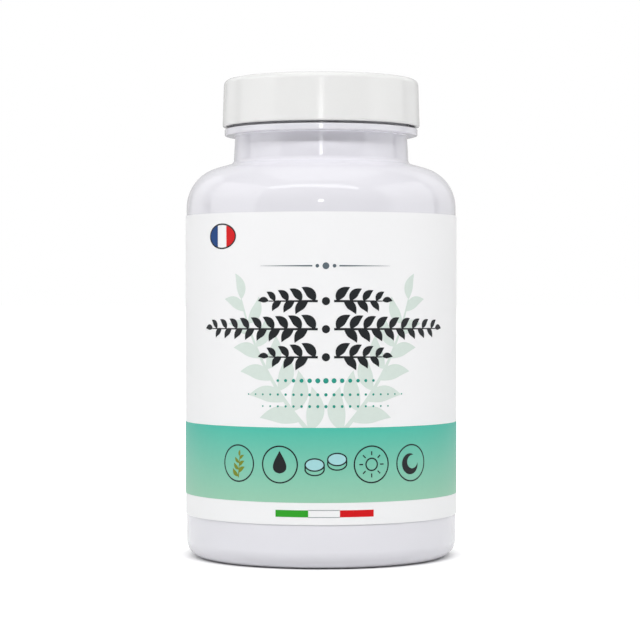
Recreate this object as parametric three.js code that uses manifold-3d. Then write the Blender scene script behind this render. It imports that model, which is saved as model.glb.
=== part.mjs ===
// A wide-mouth tablet bottle: a glossy white PET bottle with a threaded neck, a smooth screw cap
// with its sealing liner, a wrap-round label and the pressed tablets that the bottle holds.
// Millimetres, +Z up. The origin is on the standing plane, on the bottle's axis. The label faces -Y.
import * as THREE from "three";
import { ParametricGeometry } from "three/addons/geometries/ParametricGeometry.js";
import { mergeVertices } from "three/addons/utils/BufferGeometryUtils.js";
import Module from "manifold-3d";

const wasm = await Module();
wasm.setup();

// Bottle
const BODY_RADIUS = 31.5;
const WALL = 1.0;
const FOOT_FILLET = 4.0; // corner between the body and the base
const FOOT_WIDTH = 3.5; // flat ring that the bottle stands on
const PUSH_UP = 2.6; // height of the hollow under the base at its middle
const SHOULDER_START = 81.8; // where the straight wall ends
const SHOULDER_RADIUS = 9.0;
const SHOULDER_SLOPE = 16; // degrees, between the shoulder's arc and the neck
const NECK_RADIUS = 20.3;
const NECK_FILLET = 1.2;
const NECK_BORE = 18.8;
const RING_RADIUS = 22.6; // support ring under the cap
const RING_BOTTOM = 98.2;
const RING_HEIGHT = 1.5;
const FINISH_RADIUS = 20.6; // neck between the thread's turns
const RIM_HEIGHT = 108.9;
const SOFT_EDGE = 0.4; // small broken edges of ring, rim and skirt

// Cap and liner
const CAP_GAP = 0.55; // between the support ring and the skirt
const CAP_HEIGHT = 11.05;
const SKIRT_RADIUS = 23.1; // at the skirt's lower edge
const CROWN_RADIUS = 22.75; // just under the rounded top edge
const CROWN_ROUND = 1.4;
const CAP_BORE = 21.95;
const CAP_PANEL = 1.3; // thickness of the top
const LINER_RADIUS = 21.7;
const SEAT_GAP = 0.06; // between the rim, the liner, the cap and the label's backing

// One-turn screw thread, six turns to the inch
const PITCH = 25.4 / 6;
const NECK_RIDGE = { centre: 20.75, depth: 0.85, halfWidth: 0.95, start: 0, turns: 1.3 };
const CAP_RIDGE = { centre: 21.8, depth: 0.75, halfWidth: 0.75, start: 0.3, turns: 1.1 };
const THREAD_HEIGHT = 101.5; // neck ridge's middle at its lower end
const THREAD_DROP = 1.6; // cap ridge's middle below the neck ridge's
const RUN_OUT = 0.12; // share of a turn over which a ridge fades

// Label
const LABEL_BOTTOM = 10.1;
const LABEL_HEIGHT = 69.3;
const LABEL_THICKNESS = 0.16;
const LABEL_SEAM = 4.0; // gap between the label's ends, at the back

// Tablets
const TABLET_RADIUS = 4.5;
const TABLET_HEIGHT = 4.6;
const TABLET_BAND = 2.6; // height of the straight edge between the two domes
const TABLET_TILT = 12; // degrees, most
const TABLET_RINGS = [0, 8.5, 17, 25.3]; // radii of the rings in a layer
const RING_SPACING = 10.6; // along a ring
const LAYERS = 7;
const LAYER_HEIGHT = 5.7;
const FILL_BOTTOM = 6.7; // middle of the lowest layer
const CORE_RADIUS = 23.5;
const CORE_SINK = 1.0; // how far the end layers' tablets stand in the core

// Facets
const ROUND_SIDES = 64;
const RIDGE_STEPS = 48; // in one turn
const RIDGE_SIDES = 8;
const TABLET_SIDES = 8;
const MERGE_DISTANCE = 1e-4;

const radians = THREE.MathUtils.degToRad;
const point = (radius, height) => new THREE.Vector2(radius, height);

const PET_WHITE = new THREE.MeshStandardMaterial({ color: 0xe9e8ee, roughness: 0.15 });
const CAP_WHITE = new THREE.MeshStandardMaterial({ color: 0xefefee, roughness: 0.35 });
const LINER_WHITE = new THREE.MeshStandardMaterial({ color: 0xe4e2dc, roughness: 0.8 });
const LABEL_WHITE = new THREE.MeshStandardMaterial({ color: 0xf4f4f4, roughness: 0.45 });
const TABLET_GREEN = new THREE.MeshStandardMaterial({ color: 0xb5c987, roughness: 0.6 });

// A closed geometry as a solid that can be joined with others.
function solidOf(geometry) {
  geometry.deleteAttribute("normal");
  geometry.deleteAttribute("uv");
  const merged = mergeVertices(geometry, MERGE_DISTANCE);
  const corners = merged.index.array;
  const triangles = [];
  for (let i = 0; i < corners.length; i += 3) {
    const [a, b, c] = corners.slice(i, i + 3);
    if (a !== b && b !== c && c !== a) triangles.push(a, b, c);
  }
  return new wasm.Manifold(
    new wasm.Mesh({
      numProp: 3,
      vertProperties: merged.attributes.position.array,
      triVerts: new Uint32Array(triangles),
    }),
  );
}

// A named mesh of a finished solid.
function piece(name, solid, material) {
  const { vertProperties, triVerts } = solid.getMesh();
  const geometry = new THREE.BufferGeometry();
  geometry.setAttribute("position", new THREE.BufferAttribute(vertProperties, 3));
  geometry.setIndex(new THREE.BufferAttribute(triVerts, 1));
  geometry.computeVertexNormals();
  const mesh = new THREE.Mesh(geometry, material);
  mesh.name = name;
  return mesh;
}

// Points of an arc in the radius and height plane. Angles are in degrees, 0 pointing outwards.
function arc(radius, height, size, from, to, steps) {
  return Array.from({ length: steps + 1 }, (_, i) => {
    const angle = radians(from + ((to - from) * i) / steps);
    return point(radius + size * Math.cos(angle), height + size * Math.sin(angle));
  });
}

// A profile from axis to axis, turned about Z. The profile has its solid on the left.
function turned(profile, sides = ROUND_SIDES) {
  return new THREE.LatheGeometry(profile, sides).rotateX(Math.PI / 2);
}

// A rounded ridge along a helix, half sunk in the wall that carries it and fading out at both ends.
function threadRidge({ centre, depth, halfWidth, start, turns }, height) {
  const surface = (along, around, target) => {
    const turn = start + along * turns;
    const fade = Math.min(1, (along * turns) / RUN_OUT, ((1 - along) * turns) / RUN_OUT);
    const side = 2 * Math.PI * around;
    const radius = centre + depth * fade * Math.cos(side);
    const angle = 2 * Math.PI * turn;
    const rise = height + PITCH * turn + halfWidth * fade * Math.sin(side);
    target.set(radius * Math.cos(angle), radius * Math.sin(angle), rise);
  };
  const steps = Math.round(RIDGE_STEPS * turns);
  return solidOf(new ParametricGeometry(surface, steps, RIDGE_SIDES));
}

// The bottle's outside, from the middle of the base's hollow up to the rim.
function bottleOutside() {
  const footMiddle = BODY_RADIUS - FOOT_FILLET;
  const hollow = new THREE.QuadraticBezierCurve(
    point(0, PUSH_UP),
    point(0.75 * (footMiddle - FOOT_WIDTH), PUSH_UP),
    point(footMiddle - FOOT_WIDTH, 0),
  );
  const shoulderMiddle = BODY_RADIUS - SHOULDER_RADIUS;
  const shoulder = arc(shoulderMiddle, SHOULDER_START, SHOULDER_RADIUS, 0, 90 - SHOULDER_SLOPE, 6);
  const slope = radians(SHOULDER_SLOPE);
  const top = shoulder.at(-1);
  const filletRadius = NECK_RADIUS + NECK_FILLET;
  const filletHeight =
    top.y + (top.x - filletRadius) * Math.tan(slope) + NECK_FILLET / Math.cos(slope);
  const ringTop = RING_BOTTOM + RING_HEIGHT;
  return [
    ...hollow.getPoints(4),
    ...arc(footMiddle, FOOT_FILLET, FOOT_FILLET, -90, 0, 5),
    ...shoulder,
    ...arc(filletRadius, filletHeight, NECK_FILLET, 270 - SHOULDER_SLOPE, 180, 3),
    point(NECK_RADIUS, RING_BOTTOM),
    point(RING_RADIUS - SOFT_EDGE, RING_BOTTOM),
    point(RING_RADIUS, RING_BOTTOM + SOFT_EDGE),
    point(RING_RADIUS, ringTop - SOFT_EDGE),
    point(RING_RADIUS - SOFT_EDGE, ringTop),
    point(FINISH_RADIUS, ringTop),
    point(FINISH_RADIUS, RIM_HEIGHT - SOFT_EDGE),
    point(FINISH_RADIUS - SOFT_EDGE, RIM_HEIGHT),
  ];
}

// The bottle's inside, from the rim down to the middle of its floor, one wall from the outside.
function bottleInside() {
  const footMiddle = BODY_RADIUS - FOOT_FILLET;
  const footInner = footMiddle - FOOT_WIDTH;
  const shoulderMiddle = BODY_RADIUS - SHOULDER_RADIUS;
  const innerShoulder = SHOULDER_RADIUS - WALL;
  const shoulder = arc(shoulderMiddle, SHOULDER_START, innerShoulder, 90 - SHOULDER_SLOPE, 0, 4);
  const slopeRise = Math.tan(radians(SHOULDER_SLOPE));
  const boreEnd = shoulder[0].y + (shoulder[0].x - NECK_BORE) * slopeRise;
  const floor = new THREE.QuadraticBezierCurve(
    point(footInner, WALL),
    point(0.75 * footInner, PUSH_UP + WALL),
    point(0, PUSH_UP + WALL),
  );
  return [
    point(NECK_BORE + SOFT_EDGE, RIM_HEIGHT),
    point(NECK_BORE, RIM_HEIGHT - SOFT_EDGE),
    point(NECK_BORE, boreEnd),
    ...shoulder,
    ...arc(footMiddle, FOOT_FILLET, FOOT_FILLET - WALL, 0, -90, 4),
    ...floor.getPoints(3),
  ];
}

function bottle() {
  const blown = solidOf(turned([...bottleOutside(), ...bottleInside()]));
  return piece("bottle", blown.add(threadRidge(NECK_RIDGE, THREAD_HEIGHT)), PET_WHITE);
}

// The cap stands on its skirt's lower edge in its own frame.
function cap(seat) {
  const panelUnder = CAP_HEIGHT - CAP_PANEL;
  const moulded = solidOf(
    turned([
      point(0, panelUnder),
      point(CAP_BORE, panelUnder),
      point(CAP_BORE, SOFT_EDGE),
      point(CAP_BORE + SOFT_EDGE, 0),
      point(SKIRT_RADIUS - SOFT_EDGE, 0),
      point(SKIRT_RADIUS, SOFT_EDGE),
      ...arc(CROWN_RADIUS - CROWN_ROUND, CAP_HEIGHT - CROWN_ROUND, CROWN_ROUND, 0, 90, 5),
      point(0, CAP_HEIGHT),
    ]),
  );
  const ridge = threadRidge(CAP_RIDGE, THREAD_HEIGHT - THREAD_DROP - seat);
  return piece("cap", moulded.add(ridge), CAP_WHITE);
}

// The liner lies between the cap's panel and the bottle's rim.
function liner(seat) {
  const under = RIM_HEIGHT + SEAT_GAP - seat;
  const over = CAP_HEIGHT - CAP_PANEL - SEAT_GAP;
  const disc = [point(0, under), point(LINER_RADIUS, under), point(LINER_RADIUS, over), point(0, over)];
  return piece("liner", solidOf(turned(disc)), LINER_WHITE);
}

function closure() {
  const seat = RING_BOTTOM + RING_HEIGHT + CAP_GAP;
  const group = new THREE.Group();
  group.position.z = seat;
  group.add(cap(seat), liner(seat));
  return group;
}

// The label is a strip bent round the body, its seam at the back.
function label() {
  const inner = BODY_RADIUS + SEAT_GAP;
  const halfSeam = LABEL_SEAM / 2 / inner;
  const from = Math.PI / 2 + halfSeam;
  const to = Math.PI / 2 - halfSeam + 2 * Math.PI;
  const strip = new THREE.Shape()
    .absarc(0, 0, inner + LABEL_THICKNESS, from, to, false)
    .absarc(0, 0, inner, to, from, true);
  const bent = new THREE.ExtrudeGeometry(strip, {
    depth: LABEL_HEIGHT,
    bevelEnabled: false,
    curveSegments: ROUND_SIDES / 2,
  });
  const mesh = piece("label", solidOf(bent), LABEL_WHITE);
  mesh.position.z = LABEL_BOTTOM;
  return mesh;
}

// Repeatable random numbers from -1 to 1.
function seededRandom(seed) {
  let state = seed;
  return () => {
    state = (Math.imul(state, 1664525) + 1013904223) >>> 0;
    return state / 2 ** 31 - 1;
  };
}

// One tablet, with a straight edge between two shallow domes, tilted a little and set in its place.
function tablet(place, random) {
  const profile = [
    point(0, -TABLET_HEIGHT / 2),
    point(TABLET_RADIUS, -TABLET_BAND / 2),
    point(TABLET_RADIUS, TABLET_BAND / 2),
    point(0, TABLET_HEIGHT / 2),
  ];
  const tilt = radians(TABLET_TILT);
  const turn = new THREE.Euler(tilt * random(), tilt * random(), Math.PI * random());
  const matrix = new THREE.Matrix4().makeRotationFromEuler(turn).setPosition(place);
  return solidOf(turned(profile, TABLET_SIDES).applyMatrix4(matrix));
}

// Places in one layer. Only the end layers show their inner rings.
function layerPlaces(layer) {
  const height = FILL_BOTTOM + layer * LAYER_HEIGHT;
  const whole = layer === 0 || layer === LAYERS - 1;
  const rings = whole ? TABLET_RINGS : TABLET_RINGS.slice(-1);
  return rings.flatMap((radius) => {
    const count = Math.max(1, Math.floor((2 * Math.PI * radius) / RING_SPACING));
    return Array.from({ length: count }, (_, i) => {
      const angle = (2 * Math.PI * (i + layer / 2)) / count;
      return new THREE.Vector3(radius * Math.cos(angle), radius * Math.sin(angle), height);
    });
  });
}

// The filling: tablets all over a core that stands for the ones in the middle.
function tabletFill() {
  const random = seededRandom(7);
  const reach = TABLET_HEIGHT / 2 - CORE_SINK;
  const low = FILL_BOTTOM - reach;
  const high = FILL_BOTTOM + (LAYERS - 1) * LAYER_HEIGHT + reach;
  const core = solidOf(
    turned([point(0, low), point(CORE_RADIUS, low), point(CORE_RADIUS, high), point(0, high)]),
  );
  const places = Array.from({ length: LAYERS }, (_, layer) => layerPlaces(layer)).flat();
  const fill = places.reduce((joined, place) => joined.add(tablet(place, random)), core);
  return piece("tablet_fill", fill, TABLET_GREEN);
}

const tabletBottle = new THREE.Group();
tabletBottle.add(bottle(), label(), tabletFill(), closure());

export default tabletBottle;
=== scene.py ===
"""A white tablet bottle with its screw cap, liner, printed label and tablets."""

import math

import bmesh
import bpy
from bpy.props import FloatProperty, FloatVectorProperty, IntProperty, PointerProperty
from bpy.types import Operator, Panel, PropertyGroup
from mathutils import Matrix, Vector


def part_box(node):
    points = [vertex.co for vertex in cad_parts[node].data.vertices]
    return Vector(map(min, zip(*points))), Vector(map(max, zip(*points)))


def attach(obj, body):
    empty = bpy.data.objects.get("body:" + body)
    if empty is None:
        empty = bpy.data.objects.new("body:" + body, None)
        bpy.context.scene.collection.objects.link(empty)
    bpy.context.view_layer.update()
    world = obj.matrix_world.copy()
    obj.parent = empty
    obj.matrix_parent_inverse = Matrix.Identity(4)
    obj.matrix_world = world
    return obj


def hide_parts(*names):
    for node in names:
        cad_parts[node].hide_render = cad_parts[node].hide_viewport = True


bl_info = {
    "name": "Tablet Bottle",
    "version": (1, 0, 0),
    "blender": (4, 5, 0),
    "location": "3D View > Sidebar > Tablet Bottle",
    "description": "Blows a tablet bottle, moulds its cap, prints its label and fills it",
    "category": "Add Mesh",
}

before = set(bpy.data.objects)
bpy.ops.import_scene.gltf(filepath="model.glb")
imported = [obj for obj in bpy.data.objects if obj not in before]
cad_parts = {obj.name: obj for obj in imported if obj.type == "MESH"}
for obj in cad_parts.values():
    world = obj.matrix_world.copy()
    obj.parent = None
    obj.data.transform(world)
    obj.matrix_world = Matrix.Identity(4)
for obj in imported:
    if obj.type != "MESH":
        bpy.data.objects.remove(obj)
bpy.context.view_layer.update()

MM = 0.001
BODY_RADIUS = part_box("bottle")[1].x / MM
RIM_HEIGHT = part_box("bottle")[1].z / MM
SKIRT_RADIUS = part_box("cap")[1].x / MM
SKIRT_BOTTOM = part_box("cap")[0].z / MM
CAP_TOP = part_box("cap")[1].z / MM
LABEL_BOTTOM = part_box("label")[0].z / MM
LABEL_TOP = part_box("label")[1].z / MM
SHARP = math.radians(40)

# How finely corners are rounded and round pieces are cut.
CORNER_STEPS = 10
LINER_STEPS = 4
BOTTLE_SIDES = 160
CAP_SIDES = 192
LINER_SIDES = 128
TABLET_SIDES = 12
# A point that is nearer to the axis than this is on it, in millimetres.
ON_AXIS = 1e-6

# Small roundings, in millimetres.
SOFT_EDGE = 0.4
FOOT_EDGE = 1.0
RING_TOP_EDGE = 0.2
RING_EDGE = 0.3
RING_FILLET = 0.25
NECK_FILLET = 1.2
FINISH_FILLET = 0.3
BORE_FILLET = 1.5
PANEL_FILLET = 0.3
LINER_EDGE = 0.15

# How much the neck narrows towards its ring, in millimetres.
NECK_LEAN = 0.34

# Under the base, in millimetres: its dome, and the nib that moulding leaves in the middle.
DOME_START = 18.0
DOME_ROUND = 24.0
NIB_DROP = 0.4
NIB_TIP, NIB_TIP_EDGE = 1.6, 0.2
NIB_FOOT, NIB_FOOT_EDGE = 1.8, 0.15

# The dished mark of the gate in the middle of the cap's top, in millimetres.
GATE_RIM, GATE_FLOOR = 1.2, 1.0
GATE_DEPTH = 0.15
GATE_EDGE = 0.1

# The mould's parting line, in millimetres: its half width, where it starts, and the cuts beside it.
PARTING_HALF = 0.35
PARTING_START = 1.0
PARTING_CUTS = (0.12, 0.24, 0.36)

# The two threads: their ridges in millimetres, and their starts, lengths and run-out in turns.
NECK_RIDGE = {"Radius": 20.75, "Depth": 0.85, "Half width": 0.95}
CAP_RIDGE = {"Radius": 21.8, "Depth": 0.75, "Half width": 0.75}
NECK_TURNS = (0.0, 1.3)
CAP_TURNS = (0.3, 1.1)
RUN_OUT = 0.12
RUN_OUT_TIP = 0.03
THREAD_STEPS = 240
THREAD_SIDES = 20

# Tablets in each ring of a layer, and the ring's radius in millimetres.
TABLET_RINGS = ((5, 8.5), (10, 17.0), (14, 25.3))
# Where a tablet's dome bends, as shares of its radius and half height.
TABLET_BEND = (0.6, 0.88)
# How many times as far as it tilts a tablet may turn.
TABLET_SPIN = 9
# The grains of a tablet: their spacing in millimetres, and between which shares one turns to a speck.
SPECK_SPACING = 0.6
SPECK_START, SPECK_FULL = 0.72, 0.95
# The finish that every ink has.
INK_FINISH = {"Roughness": 0.45, "Specular IOR Level": 0.25}

# Points along each kind of printed stroke, and across every stroke.
OVAL_STEPS = 64
DISC_POINTS = 21
STRIPE_POINTS = 13
LEAF_POINTS = 15
STEM_POINTS = 24
DROP_POINTS = 25
ACROSS_POINTS = 5
# The step along a straight stroke in millimetres, and how near points are merged, in metres.
PRINT_STEP = 0.8
MERGE = 1e-7

# Half widths of printed lines, in millimetres.
FIGURE_LINE = 0.16
RAY_LINE = 0.14
TABLET_LINE = 0.15
TABLE_LINE = 0.09
BAR_LINE = 0.05
RULE_LINE, RULE_TIP = 0.16, 0.02

# Leaves: how far each bows, where it is widest, how it turns from the stem (in radians),
# where the first one grows, and how leaves and stem shrink towards the tip.
LEAF_BOW = 0.12
LEAF_BELLY = 0.85
LEAF_TURN = 0.8
LEAF_START = 0.4
LEAF_TAPER = 0.4
STEM_TAPER = 0.6

# Places on the flat label in millimetres: across from the middle of its front, and up from the base.
# All of the print is shifted to the right of that middle.
PRINT_SHIFT = 1.05
INK_GAP = 0.002
# The roundel is stretched across, so that it looks round from the front. Its white stripe
# is given as a share of its half width.
ROUNDEL = (-25.75, 74.15)
ROUNDEL_RADIUS = 2.72
ROUNDEL_WIDE = ROUNDEL_RADIUS * 1.51
ROUNDEL_WHITE = 0.34
# The emblem: each dot's place across and radius, and where the rules beside them start and end.
EMBLEM_HEIGHT = 67.4
EMBLEM_DOTS = ((0, 0.75), (-1.9, 0.4), (1.9, 0.4))
EMBLEM_RULES = (3, 15)
# Each garland: its height, its reach to each side and its leaves.
GARLANDS = ((59.6, 13, 7), (53.4, 29, 17), (47.2, 13, 7))
GARLAND_DOT = 0.9
GARLAND_START = 1.8
GARLAND_LEAVES = (4.4, 1.05, 0.26)
# Each spray: its foot and tip, the bow of its stem, its leaves, and as for the garlands
# the length and half width of a leaf and the half width of the stem.
FRONT_SPRAY = ((3, 30), (20, 60), -0.12, 12, 10, 2.0, 0.5)
SIDE_SPRAY = ((66, 30), (62, 72), 0.06, 13, 11, 2.2, 0.5)
SPRIG = ((-20.8, 20.2), (-20.4, 25.0), 0, 6, 2.4, 0.5, 0.14)
# Each row of dots: its height, its dots to each side and the radius of the middle one.
DOT_ROWS = ((42.0, 6, 0.6), (38.9, 10, 0.36), (36.3, 8, 0.36))
DOT_PITCH = 1.8
DOT_TAPER = 0.5
# The figures on the band. A size is a height or a radius, and a half width.
FIGURES_HEIGHT = 23.4
FIGURES_ACROSS = (-20.8, -10.4, 10.4, 20.8)
FIGURE_RADIUS = 4.05
DROP_SIZE = (5.0, 1.7)
# How much of the drop is below its place, how low and how full its belly is, and how it tapers.
DROP_BELOW = 0.4
DROP_BELLY = 0.62
DROP_FULLNESS = 0.9
DROP_TAPER = 0.25
SUN_RADIUS = 1.35
SUN_RAYS = 8
RAY_START, RAY_END = 1.5, 2.15
CRESCENT_SIZE = (1.9, 0.8)
CRESCENT_ARC = (70, 290)
TABLET_FIGURES = ((-2.5, 23.4), (2.5, 24.6))
TABLET_WIDE, TABLET_HIGH, TABLET_DEEP = 2.1, 1.35, 1.0
# The ends of the bar's stripes, and its lower and upper edge.
BAR_ENDS = (-11.35, -3.93, 3.1, 10.88)
BAR_HEIGHTS = (11.8, 13.35)
# The empty ruled table at the back.
TABLE = {"left": 72, "split": 84, "right": 94, "low": 38, "high": 74, "rows": 9}

# The camera: its place in metres, its pitch, and its lens and sensor in millimetres.
CAMERA_PLACE = (-0.00026, -0.5308, 0.0599)
CAMERA_PITCH = math.radians(90 - 0.514)
CAMERA_LENS = 127.2
CAMERA_SENSOR = 36

# The floor: half its side in metres, its grey, how far from the axis its glow starts and is full,
# and the share of the glow that shows in gloss.
FLOOR_REACH = 20.0
FLOOR_GREY = 0.85
GLOW_START = 0.0282
GLOW_END = 0.044
GLOW_IN_GLOSS = 0.25

# How bright the world is in front of the bottle and behind it, and where the one turns to the other.
WORLD_FRONT = 0.05
WORLD_BACK = 0.6
HORIZON_FRONT = 0.46
HORIZON_BACK = 0.54

# Each light: its name, width and height in metres, place, what it is aimed at, power in watts,
# and whether it lights the bottle and whether it shows in its gloss.
LIGHTS = (
    ("Key box", (1.3, 0.18), (0.0, -0.82, 1.06), (0, 0, 0.07), 13.7, True, False),
    ("Key tube", (1.86, 0.22), (-0.12, -0.94, 1.16), (0, 0, 0.07), 3.4, False, True),
    ("Left box", (0.8, 0.7), (-0.75, -0.12, 0.36), (0, 0, 0.06), 2.0, True, True),
    ("Right box", (0.8, 0.7), (0.75, -0.07, 0.36), (0, 0, 0.06), 1.85, True, True),
    ("Left rim", (0.4, 0.5), (-0.51, 0.37, 0.28), (0, 0, 0.06), 0.3, True, True),
    ("Right rim", (0.4, 0.5), (0.485, 0.4, 0.28), (0, 0, 0.06), 0.2, True, True),
    ("Top box", (0.8, 0.8), (0.0, 0.0, 0.95), (0, 0, 0.0), 1.4, True, True),
    ("Camera tube", (0.045, 0.08), (0.0, -0.62, 0.16), (0, 0, 0.09), 0.11, False, True),
)


def linear(hex_value):
    """An sRGB hex value as linear red, green and blue."""
    parts = [int(hex_value[i : i + 2], 16) / 255 for i in (1, 3, 5)]
    return tuple(c / 12.92 if c <= 0.04045 else ((c + 0.055) / 1.055) ** 2.4 for c in parts)


def length(name, millimetres, description):
    """A length that a user may change, with its default in millimetres."""
    return FloatProperty(
        name=name, description=description, default=millimetres * MM, unit="LENGTH", precision=5
    )


def colour(name, hex_value, description):
    """A colour that a user may change."""
    return FloatVectorProperty(
        name=name, description=description, default=linear(hex_value), subtype="COLOR", min=0, max=1
    )


class BottleSizes(PropertyGroup):
    """Sizes of the blown bottle."""

    wall: length("Wall", 1.0, "Thickness of the PET")
    foot_round: length("Foot round", 4.0, "Corner between body and base")
    foot_width: length("Foot width", 3.5, "Flat ring that the bottle stands on")
    push_up: length("Push-up", 2.6, "Height of the hollow under the base")
    shoulder_start: length("Shoulder start", 81.4, "Where the straight wall ends")
    shoulder_round: length("Shoulder round", 9.5, "Radius of the shoulder's arc")
    shoulder_slope: FloatProperty(
        name="Shoulder slope",
        description="Fall of the shoulder beside the neck",
        default=math.radians(16),
        subtype="ANGLE",
    )
    neck_radius: length("Neck radius", 20.3, "Neck under the support ring")
    neck_bore: length("Neck bore", 18.8, "Radius of the mouth")
    ring_radius: length("Ring radius", 22.6, "Support ring under the cap")
    ring_bottom: length("Ring bottom", 98.2, "Height of the support ring's underside")
    ring_height: length("Ring height", 1.5, "Thickness of the support ring")
    finish_radius: length("Finish radius", 20.6, "Neck between the turns of its thread")
    seam_height: length("Parting line", 0.03, "Height of the mould's parting line")


class ClosureSizes(PropertyGroup):
    """Sizes of the cap, its liner and the thread."""

    crown_radius: length("Crown radius", 22.75, "Cap's radius under its rounded top edge")
    crown_round: length("Crown round", 1.4, "Rounding of the cap's top edge")
    bore: length("Cap bore", 21.95, "Inside of the cap's skirt")
    panel: length("Panel", 1.3, "Thickness of the cap's top")
    liner_radius: length("Liner radius", 21.7, "Radius of the sealing disc")
    seat_gap: length("Seat gap", 0.06, "Gap on each side of the liner")
    pitch: length("Pitch", 25.4 / 6, "Lift of the thread in one turn")
    thread_height: length("Thread height", 101.5, "Lower end of the neck's thread")
    thread_drop: length("Thread drop", 1.6, "Cap's thread below the neck's thread")


class LabelSizes(PropertyGroup):
    """Sizes of the label and its print."""

    backing_gap: length("Backing gap", 0.06, "Between bottle and label")
    thickness: length("Thickness", 0.16, "Thickness of the label stock")
    seam: length("Seam", 4.0, "Gap between the label's ends at the back")
    band_bottom: length("Band bottom", 15.0, "Lower edge of the green band")
    band_top: length("Band top", 31.6, "Upper edge of the green band")
    ink: length("Ink", 0.012, "How far each layer of ink stands off the label")


class TabletSizes(PropertyGroup):
    """Sizes of the tablets and of their filling."""

    radius: length("Radius", 4.5, "Radius of a tablet")
    height: length("Height", 4.6, "Height of a tablet over its domes")
    band: length("Band", 2.6, "Straight edge between the domes")
    layers: IntProperty(name="Layers", description="Layers of tablets", default=7, min=1)
    layer_height: length("Layer height", 5.7, "Between the layers")
    bottom: length("Bottom", 6.7, "Middle of the lowest layer")
    tilt: FloatProperty(
        name="Tilt", description="Most tilt of a tablet", default=math.radians(12), subtype="ANGLE"
    )
    seed: IntProperty(name="Seed", description="Seed of the tablets' lie", default=7)


class Colours(PropertyGroup):
    """Colours of the materials."""

    pet: colour("PET", "#E5E4EA", "Bottle")
    cap: colour("Cap", "#EAEAE9", "Cap")
    liner: colour("Liner", "#E4E2DC", "Sealing disc")
    paper: colour("Label", "#F5F5F6", "Label stock")
    band_high: colour("Band top", "#4FC0AC", "Green band at its upper edge")
    band_low: colour("Band bottom", "#9CD0B5", "Green band at its lower edge")
    charcoal: colour("Charcoal", "#1E2124", "Dark print")
    slate: colour("Slate", "#5E6A72", "Fine rules")
    teal: colour("Teal", "#2B9A88", "Teal print")
    pale: colour("Pale green", "#DAE6DF", "Sprays behind the garlands")
    blue: colour("Blue", "#083F80", "Roundel's left stripe")
    red: colour("Red", "#D80812", "Red stripes")
    green: colour("Green", "#2FA325", "Bar's left stripe")
    olive: colour("Olive", "#7C8A2A", "Small sprig on the band")
    sky: colour("Pale blue", "#A6DADD", "Faces of the two tablets on the band")
    tablet: colour("Tablet", "#B5C987", "Pressed tablets")
    speck: colour("Speck", "#8AA25A", "Specks in the tablets")


class TabletBottle(PropertyGroup):
    """All that a user may change."""

    bottle: PointerProperty(type=BottleSizes)
    closure: PointerProperty(type=ClosureSizes)
    label: PointerProperty(type=LabelSizes)
    tablets: PointerProperty(type=TabletSizes)
    colours: PointerProperty(type=Colours)


def add(tree, kind, inputs=None, out=0, **own):
    """Adds a node with its own settings, and gives one of its outputs.

    Each input is a value, a socket to link, or a list of sockets to link.
    """
    node = tree.nodes.new(kind)
    for name, value in own.items():
        setattr(node, name, value)
    for key, value in (inputs or {}).items():
        for source in value if isinstance(value, list) else [value]:
            if isinstance(source, bpy.types.NodeSocket):
                tree.links.new(source, node.inputs[key])
            else:
                node.inputs[key].default_value = source
    return node.outputs[out] if node.outputs else None


def per_metre(millimetres):
    """A texture's scale for a pattern whose marks are this far apart."""
    return 1 / (millimetres * MM)


def start_material(name):
    """An empty material, its tree and the object coordinates in it."""
    made = bpy.data.materials.new(name)
    made.use_nodes = True
    made.node_tree.nodes.clear()
    return made, made.node_tree, add(made.node_tree, "ShaderNodeTexCoord", out="Object")


def end_material(tree, tint, height, finish, relief):
    """Ends a material in one shader with this colour, finish and relief in millimetres."""
    bump = add(tree, "ShaderNodeBump", {"Height": height, "Strength": 1.0, "Distance": relief * MM})
    shader = add(tree, "ShaderNodeBsdfPrincipled", {"Base Color": tint, "Normal": bump, **finish})
    add(tree, "ShaderNodeOutputMaterial", {"Surface": shader})


def mottled(tree, place, tint, spacing, depth, detail=2.0):
    """A noise of this spacing in millimetres, and the colour darkened a little by it."""
    noise = add(
        tree,
        "ShaderNodeTexNoise",
        {"Vector": place, "Scale": per_metre(spacing), "Detail": detail, "Roughness": 0.5},
    )
    dark = [c * (1 - depth) for c in tint]
    colours = {"Factor": noise, 6: (*tint, 1), 7: (*dark, 1)}
    return noise, add(tree, "ShaderNodeMix", colours, out=2, data_type="RGBA")


def white_pet(tint):
    """White PET, stretch-blow-moulded: a hard clear gloss over the slow waves that blowing leaves."""
    made, tree, place = start_material("White PET")
    waves, mixed = mottled(tree, place, tint, spacing=16, depth=0.02, detail=1.0)
    end_material(tree, mixed, waves, {"Roughness": 0.06, "IOR": 1.575}, relief=0.05)
    return made


def white_polypropylene(tint):
    """White polypropylene, injection-moulded: satin gloss with the fine grain of a sparked mould.

    The real grain is about 0.05 mm. It is drawn at 0.5 mm so that it shows.
    """
    made, tree, place = start_material("White polypropylene")
    grain, mixed = mottled(tree, place, tint, spacing=0.5, depth=0.02)
    end_material(tree, mixed, grain, {"Roughness": 0.15, "IOR": 1.49}, relief=0.002)
    return made


def label_paper(tint):
    """Coated label paper: an even white with a soft sheen over fine fibres, drawn at 0.6 mm."""
    made, tree, place = start_material("Coated label paper")
    fibres, mixed = mottled(tree, place, tint, spacing=0.6, depth=0.015, detail=4.0)
    sheen = {"Roughness": 0.45, "Specular IOR Level": 0.4, "Sheen Weight": 0.4}
    end_material(tree, mixed, fibres, sheen, relief=0.002)
    return made


def printing_ink(name, tint):
    """Offset ink: the paper's sheen, with the slight mottle of ink that sinks in unevenly."""
    made, tree, place = start_material(name)
    mottle, mixed = mottled(tree, place, tint, spacing=0.9, depth=0.06, detail=3.0)
    end_material(tree, mixed, mottle, INK_FINISH, relief=0.001)
    return made


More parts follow.
